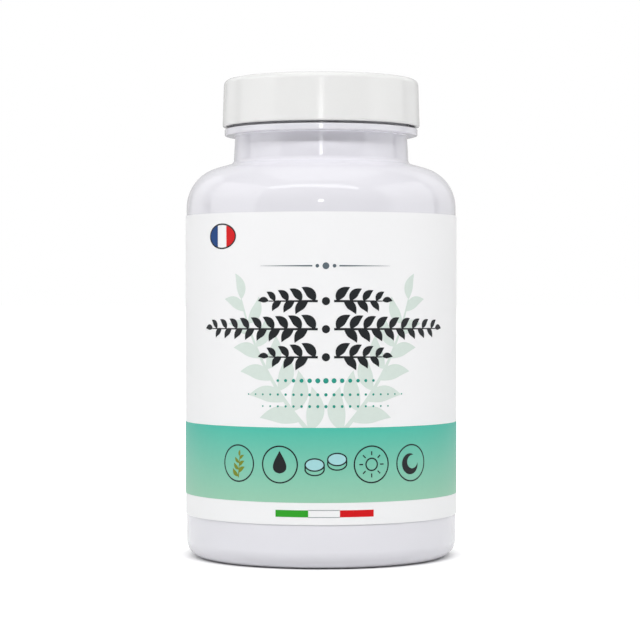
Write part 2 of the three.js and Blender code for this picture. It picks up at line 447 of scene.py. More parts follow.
def graded_ink(name, low, high, bottom, top):
    """Offset ink that is graded up the label, from one colour at its lower edge to another."""
    made, tree, place = start_material(name)
    height = add(tree, "ShaderNodeSeparateXYZ", {0: place}, out="Z")
    share = add(tree, "ShaderNodeMapRange", {"Value": height, "From Min": bottom, "From Max": top})
    colours = {"Factor": share, 6: (*low, 1), 7: (*high, 1)}
    graded = add(tree, "ShaderNodeMix", colours, out=2, data_type="RGBA")
    mottle, shade = mottled(tree, place, (1, 1, 1), spacing=0.9, depth=0.04, detail=3.0)
    colours = {"Factor": 1.0, 6: graded, 7: shade}
    mixed = add(tree, "ShaderNodeMix", colours, out=2, data_type="RGBA", blend_type="MULTIPLY")
    end_material(tree, mixed, mottle, INK_FINISH, relief=0.001)
    return made


def pulp_liner(tint):
    """Pulp board with a waxed face: matt, with short fibres about 1 mm long."""
    made, tree, place = start_material("Pulp board")
    fibres, mixed = mottled(tree, place, tint, spacing=1.0, depth=0.12, detail=6.0)
    end_material(tree, mixed, fibres, {"Roughness": 0.75, "IOR": 1.45}, relief=0.02)
    return made


def pressed_powder(tint, speck):
    """Pressed plant powder: matt, granular, pale with darker specks of about half a millimetre."""
    made, tree, place = start_material("Pressed powder")
    scale = per_metre(SPECK_SPACING)
    grains = add(tree, "ShaderNodeTexVoronoi", {"Vector": place, "Scale": scale}, out="Color")
    share = add(tree, "ShaderNodeSeparateColor", {0: grains})
    limits = {"Value": share, "From Min": SPECK_START, "From Max": SPECK_FULL}
    spotted = add(tree, "ShaderNodeMapRange", limits)
    colours = {"Factor": spotted, 6: (*tint, 1), 7: (*speck, 1)}
    mixed = add(tree, "ShaderNodeMix", colours, out=2, data_type="RGBA")
    noise = mottled(tree, place, tint, spacing=0.25, depth=0)[0]
    end_material(tree, mixed, noise, {"Roughness": 0.62, "IOR": 1.45}, relief=0.03)
    return made


def white_floor():
    """White board: even and matt. Away from the bottle it glows, so that it stays white far off.

    The camera sees all of the glow, and gloss a share of it. It lights nothing, so it isn't sampled.
    """
    made, tree, place = start_material("White board")
    made.cycles.emission_sampling = "NONE"
    away = add(tree, "ShaderNodeVectorMath", {0: place}, out="Value", operation="LENGTH")
    reach = {"Value": away, "From Min": GLOW_START, "From Max": GLOW_END}
    glow = add(tree, "ShaderNodeMapRange", reach)
    seen = add(tree, "ShaderNodeLightPath", out="Is Camera Ray")
    in_gloss = seen.node.outputs["Is Glossy Ray"]
    rays = {0: in_gloss, 1: GLOW_IN_GLOSS, 2: seen}
    either = add(tree, "ShaderNodeMath", rays, operation="MULTIPLY_ADD")
    shown = add(tree, "ShaderNodeMath", {0: glow, 1: either}, operation="MULTIPLY")
    shader = add(
        tree,
        "ShaderNodeBsdfPrincipled",
        {
            "Base Color": (FLOOR_GREY, FLOOR_GREY, FLOOR_GREY, 1),
            "Roughness": 0.9,
            "Emission Color": (1, 1, 1, 1),
            "Emission Strength": shown,
        },
    )
    add(tree, "ShaderNodeOutputMaterial", {"Surface": shader})
    return made


def rounded(corners, steps=CORNER_STEPS):
    """Points along (radius, height, rounding) corners, with each corner rounded by an arc."""
    points = []
    for i, (x, z, rounding) in enumerate(corners):
        here = Vector((x, z))
        if not rounding:
            points.append(here)
            continue
        back = (Vector(corners[i - 1][:2]) - here).normalized()
        ahead = (Vector(corners[i + 1][:2]) - here).normalized()
        half = back.angle(ahead) / 2
        middle = here + (back + ahead).normalized() * (rounding / math.sin(half))
        first = here + back * (rounding / math.tan(half)) - middle
        last = here + ahead * (rounding / math.tan(half)) - middle
        start = math.atan2(first.y, first.x)
        sweep = math.remainder(math.atan2(last.y, last.x) - start, 2 * math.pi)
        for step in range(steps + 1):
            angle = start + sweep * step / steps
            points.append(middle + rounding * Vector((math.cos(angle), math.sin(angle))))
    return points


def even_angles(count):
    """Angles all round, evenly apart."""
    return [2 * math.pi * i / count for i in range(count)]


def turned(name, profile, angles, swell=None):
    """A closed skin turned about Z. The profile runs from axis to axis, its solid on the left."""
    skin = bmesh.new()
    rings = []
    for row, point in enumerate(profile):
        if point.x < ON_AXIS:
            rings.append([skin.verts.new((0, 0, point.y * MM))])
            continue
        ring = []
        for angle in angles:
            radius = point.x + (swell(row, point, angle) if swell else 0)
            ring.append((radius * math.cos(angle) * MM, radius * math.sin(angle) * MM, point.y * MM))
        rings.append([skin.verts.new(place) for place in ring])
    for low, high in zip(rings, rings[1:]):
        for k in range(len(angles)):
            n = (k + 1) % len(angles)
            corners = [low[k % len(low)], low[n % len(low)], high[n % len(high)], high[k % len(high)]]
            skin.faces.new(list(dict.fromkeys(corners)))
    mesh = bpy.data.meshes.new(name)
    skin.to_mesh(mesh)
    skin.free()
    return mesh


def placed(name, mesh, material=None):
    """An object for a finished mesh, smooth but for its sharp edges."""
    if material:
        mesh.materials.append(material)
    mesh.shade_smooth()
    mesh.set_sharp_from_angle(angle=SHARP)
    piece = bpy.data.objects.new(name, mesh)
    bpy.context.scene.collection.objects.link(piece)
    return piece


def evened(piece):
    """Lets large faces set the normals, so flat walls stay flat beside small roundings."""
    modifier = piece.modifiers.new("Even normals", "WEIGHTED_NORMAL")
    modifier.keep_sharp = True
    return piece


def fitted(piece, body, slot, *nodes):
    """Hands a finished piece over to the body that carries it."""
    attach(piece, body)
    if nodes:
        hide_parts(*nodes)
    return piece


def new_tree(name, inputs):
    """A geometry tree with these named inputs, and the sockets that they come in by."""
    tree = bpy.data.node_groups.new(name, "GeometryNodeTree")
    for label, kind in inputs.items():
        tree.interface.new_socket(label, in_out="INPUT", socket_type="NodeSocket" + kind)
    tree.interface.new_socket("Geometry", in_out="OUTPUT", socket_type="NodeSocketGeometry")
    return tree, tree.nodes.new("NodeGroupInput").outputs


def end_tree(tree, geometry, material):
    """Ends a geometry tree as one real mesh with its material."""
    real = add(tree, "GeometryNodeRealizeInstances", {"Geometry": geometry})
    shown = add(tree, "GeometryNodeSetMaterial", {"Geometry": real, "Material": material})
    add(tree, "NodeGroupOutput", {0: shown})


def grown(tree, name, mesh, values):
    """The plain mesh that a tree makes of a mesh and these values of its inputs."""
    source = bpy.data.objects.new(name, mesh)
    bpy.context.scene.collection.objects.link(source)
    modifier = source.modifiers.new(tree.name, "NODES")
    modifier.node_group = tree
    for item in tree.interface.items_tree:
        if item.in_out == "INPUT" and item.name in values:
            modifier[item.identifier] = values[item.name]
    result = source.evaluated_get(bpy.context.evaluated_depsgraph_get())
    result = bpy.data.meshes.new_from_object(result)
    source.modifiers.remove(modifier)
    bpy.data.objects.remove(source)
    bpy.data.meshes.remove(mesh)
    result.name = name
    return result


def thread_tree():
    """A rounded ridge swept along a helix, fading out at both ends."""
    sizes = ("Radius", "Depth", "Half width", "Pitch", "Height", "Start turn", "Turns", "Run out")
    tree, given = new_tree("Thread ridge", {**dict.fromkeys(sizes, "Float"), "Material": "Material"})
    line = add(tree, "GeometryNodeMeshLine", {"Count": THREAD_STEPS})
    path = add(tree, "GeometryNodeMeshToCurve", {"Mesh": line})
    along = add(tree, "GeometryNodeSplineParameter", out="Factor")
    passed = add(tree, "ShaderNodeMath", {0: along, 1: given["Turns"]}, operation="MULTIPLY")
    left = add(tree, "ShaderNodeMath", {0: given["Turns"], 1: passed}, operation="SUBTRACT")
    nearer = add(tree, "ShaderNodeMath", {0: passed, 1: left}, operation="MINIMUM")
    ends = {"Value": nearer, "From Max": given["Run out"], "To Min": RUN_OUT_TIP}
    fade = add(tree, "ShaderNodeMapRange", ends)
    turn = add(tree, "ShaderNodeMath", {0: passed, 1: given["Start turn"]}, operation="ADD")
    angle = add(tree, "ShaderNodeMath", {0: turn, 1: 2 * math.pi}, operation="MULTIPLY")
    rise = {0: turn, 1: given["Pitch"], 2: given["Height"]}
    height = add(tree, "ShaderNodeMath", rise, operation="MULTIPLY_ADD")
    start = add(tree, "ShaderNodeCombineXYZ", {"X": given["Radius"], "Z": height})
    place = add(
        tree, "ShaderNodeVectorRotate", {"Vector": start, "Angle": angle}, rotation_type="Z_AXIS"
    )
    helix = add(tree, "GeometryNodeSetPosition", {"Geometry": path, "Position": place})
    level = add(tree, "GeometryNodeSetCurveNormal", {"Curve": helix}, mode="Z_UP")
    circle = add(tree, "GeometryNodeCurvePrimitiveCircle", {"Resolution": THREAD_SIDES})
    scale = add(
        tree, "ShaderNodeCombineXYZ", {"X": given["Depth"], "Y": given["Half width"], "Z": 1.0}
    )
    section = add(tree, "GeometryNodeTransform", {"Geometry": circle, "Scale": scale})
    ridge = add(
        tree,
        "GeometryNodeCurveToMesh",
        {"Curve": level, "Profile Curve": section, "Scale": fade, "Fill Caps": True},
    )
    end_tree(tree, ridge, given["Material"])
    return tree


def print_tree():
    """Strokes drawn on the flat label, widened, thickened and bent round the bottle."""
    tree, given = new_tree(
        "Label print",
        {"Strokes": "Geometry", "Radius": "Float", "Thickness": "Float", "Material": "Material"},
    )
    line = add(tree, "GeometryNodeMeshToCurve", {"Mesh": given["Strokes"]})
    level = add(tree, "GeometryNodeSetCurveNormal", {"Curve": line}, mode="Z_UP")
    across = add(tree, "GeometryNodeCurvePrimitiveLine", {"Start": (-1, 0, 0), "End": (1, 0, 0)})
    strips = add(tree, "GeometryNodeResampleCurve", {"Curve": across, "Count": ACROSS_POINTS})
    half = add(tree, "GeometryNodeInputNamedAttribute", {"Name": "half_width"})
    flat = add(
        tree,
        "GeometryNodeCurveToMesh",
        {"Curve": level, "Profile Curve": strips, "Scale": half, "Fill Caps": False},
    )
    raised = add(
        tree,
        "GeometryNodeExtrudeMesh",
        {"Mesh": flat, "Offset": (0, 0, 1), "Offset Scale": given["Thickness"], "Individual": False},
    )
    under = add(tree, "GeometryNodeFlipFaces", {"Mesh": flat})
    both = add(tree, "GeometryNodeJoinGeometry", {0: [raised, under]})
    closed = add(tree, "GeometryNodeMergeByDistance", {"Geometry": both, "Distance": MERGE})
    place = add(tree, "GeometryNodeInputPosition")
    along, up, out = add(tree, "ShaderNodeSeparateXYZ", {0: place}).node.outputs
    angle = add(tree, "ShaderNodeMath", {0: along, 1: given["Radius"]}, operation="DIVIDE")
    radius = add(tree, "ShaderNodeMath", {0: out, 1: given["Radius"]}, operation="ADD")
    front = add(tree, "ShaderNodeMath", {0: radius, 1: -1.0}, operation="MULTIPLY")
    ahead = add(tree, "ShaderNodeCombineXYZ", {"Y": front, "Z": up})
    bent = add(
        tree, "ShaderNodeVectorRotate", {"Vector": ahead, "Angle": angle}, rotation_type="Z_AXIS"
    )
    wrapped = add(tree, "GeometryNodeSetPosition", {"Geometry": closed, "Position": bent})
    end_tree(tree, wrapped, given["Material"])
    return tree


def tablet_tree():
    """Tablets laid in rings, layer on layer, each tilted a little at random."""
    sizes = {"Layers": "Int", "Layer height": "Float", "Bottom": "Float", "Tilt": "Float", "Seed": "Int"}
    tree, given = new_tree("Tablet filling", {"Tablet": "Geometry", **sizes, "Material": "Material"})
    rings = [
        add(tree, "GeometryNodeMeshCircle", {"Vertices": count, "Radius": radius * MM})
        for count, radius in TABLET_RINGS
    ]
    middle = add(tree, "GeometryNodeMeshLine", {"Count": 1})
    layer = add(tree, "GeometryNodeJoinGeometry", {0: [*rings, middle]})
    start = add(tree, "ShaderNodeCombineXYZ", {"Z": given["Bottom"]})
    step = add(tree, "ShaderNodeCombineXYZ", {"Z": given["Layer height"]})
    floors = {"Count": given["Layers"], "Start Location": start, "Offset": step}
    levels = add(tree, "GeometryNodeMeshLine", floors)
    number = add(tree, "GeometryNodeInputIndex")
    half_step = math.pi / TABLET_RINGS[-1][0]
    turn = add(tree, "ShaderNodeMath", {0: number, 1: half_step}, operation="MULTIPLY")
    turned_by = add(tree, "ShaderNodeCombineXYZ", {"Z": turn})
    laid = {"Points": levels, "Instance": layer, "Rotation": turned_by}
    stack = add(tree, "GeometryNodeInstanceOnPoints", laid)
    places = add(tree, "GeometryNodeRealizeInstances", {"Geometry": stack})
    limits = []
    for way in (-1, 1):
        lean = {0: (way, way, way * TABLET_SPIN), "Scale": given["Tilt"]}
        limits.append(add(tree, "ShaderNodeVectorMath", lean, operation="SCALE"))
    between = {0: limits[0], 1: limits[1], "Seed": given["Seed"]}
    lie = add(tree, "FunctionNodeRandomValue", between, data_type="FLOAT_VECTOR")
    poured = {"Points": places, "Instance": given["Tablet"], "Rotation": lie}
    tablets = add(tree, "GeometryNodeInstanceOnPoints", poured)
    end_tree(tree, tablets, given["Material"])
    return tree


def bottle_outside(sizes):
    """Corners of the bottle's outside, from the middle of the base to the rim."""
    foot_in = BODY_RADIUS - (sizes.foot_round + sizes.foot_width) / MM
    neck_top = sizes.neck_radius / MM - NECK_LEAN / 2
    neck = neck_top + NECK_LEAN
    turn = math.pi / 2 - sizes.shoulder_slope
    shoulder = (sizes.shoulder_start + sizes.shoulder_round * math.tan(turn / 2)) / MM
    neck_foot = shoulder + (BODY_RADIUS - neck) * math.tan(sizes.shoulder_slope)
    push_up = sizes.push_up / MM
    low, high = sizes.ring_bottom / MM, (sizes.ring_bottom + sizes.ring_height) / MM
    ring, finish = sizes.ring_radius / MM, sizes.finish_radius / MM
    return [
        (0, push_up - NIB_DROP, 0),
        (NIB_TIP, push_up - NIB_DROP, NIB_TIP_EDGE),
        (NIB_FOOT, push_up, NIB_FOOT_EDGE),
        (DOME_START, push_up, DOME_ROUND),
        (foot_in, 0, FOOT_EDGE),
        (BODY_RADIUS, 0, sizes.foot_round / MM),
        (BODY_RADIUS, shoulder, sizes.shoulder_round / MM),
        (neck, neck_foot, NECK_FILLET),
        (neck_top, low, RING_FILLET),
        (ring, low, RING_EDGE),
        (ring, high, RING_TOP_EDGE),
        (finish, high, FINISH_FILLET),
        (finish, RIM_HEIGHT, SOFT_EDGE),
    ]


def bottle_inside(sizes):
    """Corners of the bottle's inside, from the rim to the middle of its floor."""
    wall = sizes.wall / MM
    foot_in = BODY_RADIUS - (sizes.foot_round + sizes.foot_width) / MM
    bore = sizes.neck_bore / MM
    inner = BODY_RADIUS - wall
    turn = math.pi / 2 - sizes.shoulder_slope
    arc = sizes.shoulder_round / MM - wall
    shoulder = sizes.shoulder_start / MM + arc * math.tan(turn / 2)
    neck_foot = shoulder + (inner - bore) * math.tan(sizes.shoulder_slope)
    floor = sizes.push_up / MM + wall
    return [
        (bore, RIM_HEIGHT, SOFT_EDGE),
        (bore, neck_foot, BORE_FILLET),
        (inner, shoulder, arc),
        (inner, wall, sizes.foot_round / MM - wall),
        (foot_in, wall, FOOT_EDGE),
        (DOME_START, floor, DOME_ROUND),
        (0, floor, 0),
    ]


class TABLETBOTTLE_OT_blow_bottle(Operator):
    """Blow the white bottle, with the parting line of its mould"""

    bl_idname = "tablet_bottle.blow_bottle"
    bl_label = "Blow bottle"

    def execute(self, context):
        sizes = context.scene.tablet_bottle.bottle
        corners = bottle_outside(sizes)
        profile = rounded(corners + bottle_inside(sizes))
        outside = len(rounded(corners + [(0, RIM_HEIGHT, 0)])) - 1
        top = sizes.ring_bottom / MM
        seam = sizes.seam_height / MM

        def parting(row, point, angle):
            aside = BODY_RADIUS * abs(math.sin(angle)) / PARTING_HALF
            if row >= outside or not PARTING_START < point.y < top or aside >= 1:
                return 0
            return seam * (1 - aside**2)

        beside = [s * d / BODY_RADIUS for s in (-1, 1) for d in PARTING_CUTS]
        angles = sorted(even_angles(BOTTLE_SIDES) + [a + b for a in (0, math.pi) for b in beside])
        skin = turned("white_bottle", profile, angles, parting)
        material = white_pet(context.scene.tablet_bottle.colours.pet)
        fitted(evened(placed("white_bottle", skin, material)), "bottle", "pet_white", "bottle")
        return {"FINISHED"}


class TABLETBOTTLE_OT_mould_cap(Operator):
    """Mould the smooth cap, with the mark of its gate on top"""

    bl_idname = "tablet_bottle.mould_cap"
    bl_label = "Mould cap"

    def execute(self, context):
        sizes = context.scene.tablet_bottle.closure
        bore, crown = sizes.bore / MM, sizes.crown_radius / MM
        under = CAP_TOP - sizes.panel / MM
        profile = rounded(
            [
                (0, under, 0),
                (bore, under, PANEL_FILLET),
                (bore, SKIRT_BOTTOM, SOFT_EDGE),
                (SKIRT_RADIUS, SKIRT_BOTTOM, SOFT_EDGE),
                (crown, CAP_TOP, sizes.crown_round / MM),
                (GATE_RIM, CAP_TOP, GATE_EDGE),
                (GATE_FLOOR, CAP_TOP - GATE_DEPTH, GATE_EDGE),
                (0, CAP_TOP - GATE_DEPTH, 0),
            ]
        )
        skin = turned("white_cap", profile, even_angles(CAP_SIDES))
        material = white_polypropylene(context.scene.tablet_bottle.colours.cap)
        fitted(evened(placed("white_cap", skin, material)), "cap", "cap_white", "cap")
        return {"FINISHED"}


class TABLETBOTTLE_OT_punch_liner(Operator):
    """Punch the sealing liner that lies in the cap"""

    bl_idname = "tablet_bottle.punch_liner"
    bl_label = "Punch liner"

    def execute(self, context):
        sizes = context.scene.tablet_bottle.closure
        edge, gap = sizes.liner_radius / MM, sizes.seat_gap / MM
        low, high = RIM_HEIGHT + gap, CAP_TOP - sizes.panel / MM - gap
        corners = [(0, low, 0), (edge, low, LINER_EDGE), (edge, high, LINER_EDGE), (0, high, 0)]
        skin = turned("sealing_liner", rounded(corners, LINER_STEPS), even_angles(LINER_SIDES))
        material = pulp_liner(context.scene.tablet_bottle.colours.liner)
        fitted(evened(placed("sealing_liner", skin, material)), "liner", "liner_foam", "liner")
        return {"FINISHED"}


class TABLETBOTTLE_OT_cut_threads(Operator):
    """Sweep the thread on the neck and the thread in the cap"""

    bl_idname = "tablet_bottle.cut_threads"
    bl_label = "Cut threads"

    def execute(self, context):
        sizes = context.scene.tablet_bottle.closure
        tree = thread_tree()
        lower = sizes.thread_drop
        for name, ridge, (start, turns), below, owner, body, slot in (
            ("neck_thread", NECK_RIDGE, NECK_TURNS, 0.0, "white_bottle", "bottle", "pet_white"),
            ("cap_thread", CAP_RIDGE, CAP_TURNS, lower, "white_cap", "cap", "cap_white"),
        ):
            values = {
                **{label: size * MM for label, size in ridge.items()},
                "Pitch": sizes.pitch,
                "Height": sizes.thread_height - below,
                "Start turn": start,
                "Turns": turns,
                "Run out": RUN_OUT,
                "Material": bpy.data.objects[owner].data.materials[0],
            }
            swept = grown(tree, name, bpy.data.meshes.new(name), values)
            fitted(placed(name, swept), body, slot)
        return {"FINISHED"}


def stroke(points, half, closed=False):
    """One stroke on the flat label: its points in millimetres and its half width at each."""
    halves = half if isinstance(half, list) else [half] * len(points)
    return [tuple(point) for point in points], halves, closed


def spread(count):
    """Evenly spaced shares from 0 to 1."""
    return [i / (count - 1) for i in range(count)]


def straight(start, end, half, tip=None):
    """A straight line between two points. It may taper to another half width at its end."""
    a, b = Vector(start), Vector(end)
    shares = spread(max(2, math.ceil((b - a).length / PRINT_STEP)))
    last = half if tip is None else tip
    return stroke([a.lerp(b, t) for t in shares], [half + (last - half) * t for t in shares])


def bar(left, right, low, high):
    """A filled rectangle."""
    middle = (low + high) / 2
    return straight((left, middle), (right, middle), (high - low) / 2)


def oval(x, y, wide, high, half, start=0, sweep=360):
    """The line of an oval, or a part of it, between angles in degrees."""
    closed = sweep == 360
    shares = spread(OVAL_STEPS + 1)[: OVAL_STEPS if closed else None]
    angles = [math.radians(start + sweep * t) for t in shares]
    points = [(x + wide * math.cos(a), y + high * math.sin(a)) for a in angles]
    return stroke(points, half, closed)


def disc(x, y, wide, high=None):
    """A filled circle, or a filled oval if it has a height of its own."""
    angles = [math.pi * t for t in spread(DISC_POINTS)]
    points = [(x, y - (high or wide) * math.cos(a)) for a in angles]
    return stroke(points, [wide * math.sin(a) for a in angles])


def round_stripe(left, right):
    """The part of the roundel between two uprights, which are given as shares of its width."""
    x, y = ROUNDEL
    shares = [left + (right - left) * t for t in spread(STRIPE_POINTS)]
    halves = [ROUNDEL_RADIUS * math.sqrt(max(0, 1 - share**2)) for share in shares]
    return stroke([(x + ROUNDEL_WIDE * share, y) for share in shares], halves)


def leaf(foot, size, angle, half):
    """A pointed leaf, bowed a little, that starts at a point and heads along an angle."""
    along = Vector((math.cos(angle), math.sin(angle))) * size
    aside = Vector((-along.y, along.x)) * LEAF_BOW
    shares = spread(LEAF_POINTS)
    points = [foot + along * t + aside * math.sin(math.pi * t) for t in shares]
    return stroke(points, [half * math.sin(math.pi * t**LEAF_BELLY) for t in shares])


def spray(foot, tip, bow, leaves, size, half, stem):
    """A leafy spray: a bowed stem with leaves on both sides, smaller towards the one at its tip."""
    foot, tip = Vector(foot), Vector(tip)
    rise = tip - foot
    bend = (foot + tip) / 2 + Vector((-rise.y, rise.x)) * bow

    def at(t):
        return foot * (1 - t) ** 2 + bend * 2 * t * (1 - t) + tip * t**2

    shares = spread(STEM_POINTS)
    strokes = [stroke([at(t) for t in shares], [stem * (1 - STEM_TAPER * t) for t in shares])]
    for i in range(leaves + 1):
        t = (i + LEAF_START) / (leaves + LEAF_START)
        heading = (bend - foot) * (1 - t) + (tip - bend) * t
        turn = 0 if i == leaves else LEAF_TURN * (-1) ** i
        angle = math.atan2(heading.y, heading.x) + turn
        share = 1 - LEAF_TAPER * t
        strokes.append(leaf(at(t), size * share, angle, half * share))
    return strokes


def mirrored(strokes):
    """The same strokes on the other side of the label's middle."""
    return [([(-x, y) for x, y in line], widths, closed) for line, widths, closed in strokes]


def crescent(x, y, radius, half):
    """A crescent, open to the upper right."""
    points, _, _ = oval(x, y, radius, radius, half, *CRESCENT_ARC)
    return stroke(points, [half * math.sin(math.pi * t) for t in spread(len(points))])


def drop(x, y, height, half):
    """A filled drop with its point on top."""
    shares = spread(DROP_POINTS)
    points = [(x, y + height * (t - DROP_BELOW)) for t in shares]
    swell = [math.sin(math.pi * t**DROP_BELLY) ** DROP_FULLNESS * (1 - DROP_TAPER * t) for t in shares]
    return stroke(points, [half * share for share in swell])


def sun(x, y, radius):
    """A circle with short rays."""
    middle = Vector((x, y))
    strokes = [oval(x, y, radius, radius, FIGURE_LINE)]
    for angle in even_angles(SUN_RAYS):
        ray = Vector((math.cos(angle), math.sin(angle))) * radius
        strokes.append(straight(middle + ray * RAY_START, middle + ray * RAY_END, RAY_LINE))
    return strokes


def tablet_figure(x, y):
    """A round tablet seen from above its edge."""
    wide, high, low = TABLET_WIDE, TABLET_HIGH, y - TABLET_DEEP
    front = oval(x, low, wide, high, TABLET_LINE, start=180, sweep=180)
    sides = [straight((s, y), (s, low), TABLET_LINE) for s in (x - wide, x + wide)]
    return [oval(x, y, wide, high, TABLET_LINE), front, *sides]


def strokes_mesh(name, strokes, shift=0):
    """The strokes of one ink as lines of points with their half widths."""
    points, halves, edges = [], [], []
    for line, widths, closed in strokes:
        first = len(points)
        points += [((x + shift) * MM, y * MM, 0) for x, y in line]
        halves += [w * MM for w in widths]
        edges += [(k, k + 1) for k in range(first, len(points) - 1)]
        if closed:
            edges.append((len(points) - 1, first))
    mesh = bpy.data.meshes.new(name)
    mesh.from_pydata(points, edges, [])
    mesh.attributes.new("half_width", "FLOAT", "POINT").data.foreach_set("value", halves)
    return mesh


def dark_strokes():
    """The garlands, the roundel's rim and the figures on the band."""
    strokes = [oval(*ROUNDEL, ROUNDEL_WIDE, ROUNDEL_RADIUS, FIGURE_LINE)]
    for y, reach, leaves in GARLANDS:
        strokes.append(disc(0, y, GARLAND_DOT))
        half = spray((GARLAND_START, y), (reach, y), 0, leaves, *GARLAND_LEAVES)
        strokes += half + mirrored(half)
    y, radius = FIGURES_HEIGHT, FIGURE_RADIUS
    strokes += [oval(x, y, radius, radius, FIGURE_LINE) for x in FIGURES_ACROSS]
    _, drop_x, sun_x, crescent_x = FIGURES_ACROSS
    strokes.append(drop(drop_x, y, *DROP_SIZE))
    strokes += sun(sun_x, y, SUN_RADIUS)
    strokes.append(crescent(crescent_x, y, *CRESCENT_SIZE))
    for x, y in TABLET_FIGURES:
        strokes += tablet_figure(x, y)
    return strokes


def slate_strokes():
    """The emblem of dots and rules, the bar's fine outline and the empty ruled table at the back."""
    y = EMBLEM_HEIGHT
    near, far = EMBLEM_RULES
    strokes = [disc(x, y, radius) for x, radius in EMBLEM_DOTS]
    strokes += [straight((s * near, y), (s * far, y), RULE_LINE, RULE_TIP) for s in (-1, 1)]
    strokes += [straight((BAR_ENDS[1], y), (BAR_ENDS[2], y), BAR_LINE) for y in BAR_HEIGHTS]
    left, right, low, high = (TABLE[key] for key in ("left", "right", "low", "high"))
    for t in spread(TABLE["rows"] + 1):
        y = low + (high - low) * t
        strokes.append(straight((left, y), (right, y), TABLE_LINE))
    uprights = (left, TABLE["split"], right)
    return strokes + [straight((x, low), (x, high), TABLE_LINE) for x in uprights]


def leafy_strokes():
    """Pale sprays that rise from the band, two at the front and one on each side."""
    front, beside = spray(*FRONT_SPRAY), spray(*SIDE_SPRAY)
    return front + mirrored(front) + beside + mirrored(beside)


def teal_strokes():
    """Rows of dots that grow smaller towards their ends."""
    strokes = []
    for y, reach, radius in DOT_ROWS:
        for i in range(-reach, reach + 1):
            strokes.append(disc(DOT_PITCH * i, y, radius * (1 - DOT_TAPER * abs(i) / reach)))
    return strokes


class TABLETBOTTLE_OT_wrap_label(Operator):
    """Cut the label and bend it round the bottle"""

    bl_idname = "tablet_bottle.wrap_label"
    bl_label = "Wrap label"

    def execute(self, context):
        sizes, tints = context.scene.tablet_bottle.label, context.scene.tablet_bottle.colours
        inner = BODY_RADIUS * MM + sizes.backing_gap
        end = (math.pi * inner - sizes.seam / 2) / MM
        strip = strokes_mesh("wrap_label", [bar(-end, end, LABEL_BOTTOM, LABEL_TOP)])
        material = label_paper(tints.paper)
        values = {"Radius": inner, "Thickness": sizes.thickness, "Material": material}
        wrapped = grown(print_tree(), "wrap_label", strip, values)
        fitted(placed("wrap_label", wrapped), "bottle", "label_film", "label")
        return {"FINISHED"}


class TABLETBOTTLE_OT_print_label(Operator):
    """Print the band, the ornament and the figures on the label, one ink at a time"""

    bl_idname = "tablet_bottle.print_label"
    bl_label = "Print label"

    def execute(self, context):
        sizes, tints = context.scene.tablet_bottle.label, context.scene.tablet_bottle.colours
        tree = print_tree()
        face = BODY_RADIUS * MM + sizes.backing_gap + sizes.thickness + INK_GAP * MM
        end = (math.pi * face - sizes.seam / 2) / MM
        low, high = sizes.band_bottom, sizes.band_top
        band_ink = graded_ink("Graded green ink", tints.band_low, tints.band_high, low, high)
        band = [bar(-end - PRINT_SHIFT, end - PRINT_SHIFT, low / MM, high / MM)]
        left, green_end, red_start, right = BAR_ENDS
        wide, deep = TABLET_WIDE - TABLET_LINE, TABLET_HIGH - TABLET_LINE
        faces = [disc(x, y, wide, deep) for x, y in TABLET_FIGURES]
        blue = [round_stripe(-1, -ROUNDEL_WHITE)]
        red = [round_stripe(ROUNDEL_WHITE, 1), bar(red_start, right, *BAR_HEIGHTS)]
        green = [bar(left, green_end, *BAR_HEIGHTS)]
        for name, layer, strokes, material in (
            ("label_band", 1, band, band_ink),
            ("label_sprays", 0, leafy_strokes(), printing_ink("Pale green ink", tints.pale)),
            ("label_dots", 2, teal_strokes(), printing_ink("Teal ink", tints.teal)),
            ("label_figures", 2, dark_strokes(), printing_ink("Charcoal ink", tints.charcoal)),
            ("label_rules", 2, slate_strokes(), printing_ink("Slate ink", tints.slate)),
            ("label_sprig", 2, spray(*SPRIG), printing_ink("Olive ink", tints.olive)),
            ("label_faces", 2, faces, printing_ink("Pale blue ink", tints.sky)),
            ("label_blue", 0, blue, printing_ink("Blue ink", tints.blue)),
            ("label_red", 0, red, printing_ink("Red ink", tints.red)),
            ("label_green", 0, green, printing_ink("Green ink", tints.green)),
        ):
            radius = face + layer * sizes.ink
            values = {"Radius": radius, "Thickness": sizes.ink, "Material": material}
            lines = strokes_mesh(name, strokes, PRINT_SHIFT)
            printed = placed(name, grown(tree, name, lines, values))
            fitted(printed, "bottle", "label_film")
        return {"FINISHED"}


class TABLETBOTTLE_OT_fill_tablets(Operator):
    """Press the tablets and fill the bottle with them"""

    bl_idname = "tablet_bottle.fill_tablets"
    bl_label = "Fill tablets"

    def execute(self, context):
        sizes, tints = context.scene.tablet_bottle.tablets, context.scene.tablet_bottle.colours
        edge, half, band = sizes.radius / MM, sizes.height / 2 / MM, sizes.band / 2 / MM
        bend, bend_height = TABLET_BEND[0] * edge, half * TABLET_BEND[1]
        upper = [(edge, band), (bend, bend_height), (0, half)]
        lower = [(x, -z) for x, z in reversed(upper)]
        profile = [Vector(corner) for corner in lower + upper]
        tablet = turned("tablet", profile, even_angles(TABLET_SIDES))
        values = {
            "Layers": sizes.layers,
            "Layer height": sizes.layer_height,
            "Bottom": sizes.bottom,
            "Tilt": sizes.tilt,
            "Seed": sizes.seed,
            "Material": pressed_powder(tints.tablet, tints.speck),
        }
        skin = grown(tablet_tree(), "tablets", tablet, values)
        fitted(placed("tablets", skin), "bottle", "tablet_green", "tablet_fill")
        return {"FINISHED"}


